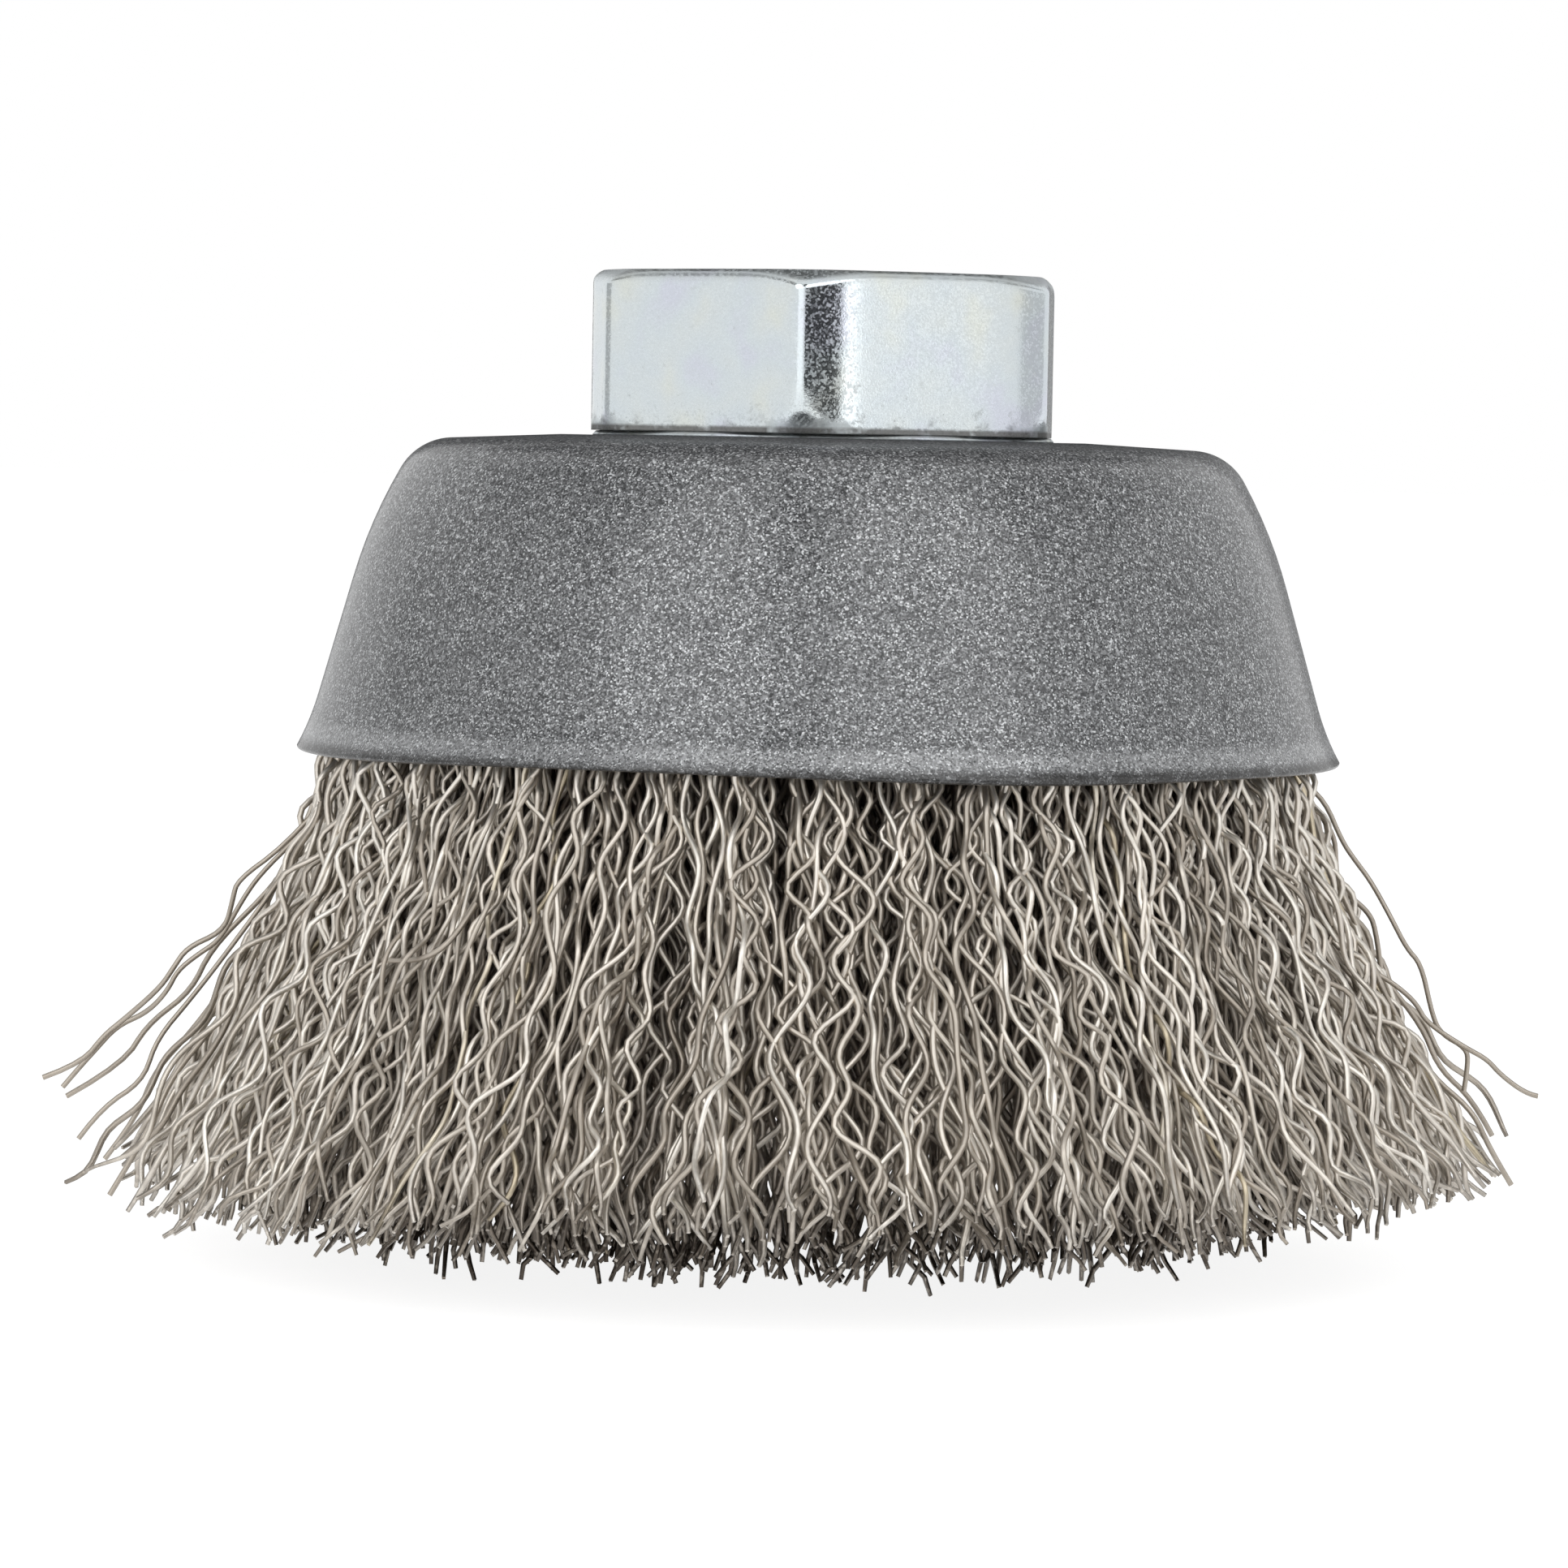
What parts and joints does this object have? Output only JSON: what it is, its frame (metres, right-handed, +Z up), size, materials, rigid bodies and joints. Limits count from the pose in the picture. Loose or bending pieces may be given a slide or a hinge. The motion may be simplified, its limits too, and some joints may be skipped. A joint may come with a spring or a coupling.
{
  "type": "wire cup brush",
  "caption": "Cup brush for an angle grinder: a flared crown of crimped wires held in a pressed steel cup, driven through a threaded hexagon nut.",
  "frame": {"origin": "on the spindle's axis, at the level of the lowest wire tips, on which the brush stands", "axes": "+Z up along the spindle's axis, out of the nut; +X through one flat of the hexagon, -Y towards one of its corners"},
  "size_m": [0.074, 0.074, 0.0521],
  "materials": {
    "plated_nut": "bright zinc plating",
    "painted_cup": "speckled metallic grey paint, satin",
    "plain_steel": "plain bright steel",
    "wire": "drawn and crimped wire, warm grey"
  },
  "bodies": {
    "root": {"arbor_nut": "plated_nut", "cup": "painted_cup", "holding_ring": "plain_steel", "inner_plate": "plain_steel", "wires_first_row": "wire", "wires_second_row": "wire", "wires_third_row": "wire", "wires_fourth_row": "wire"}
  },
  "joints": []
}
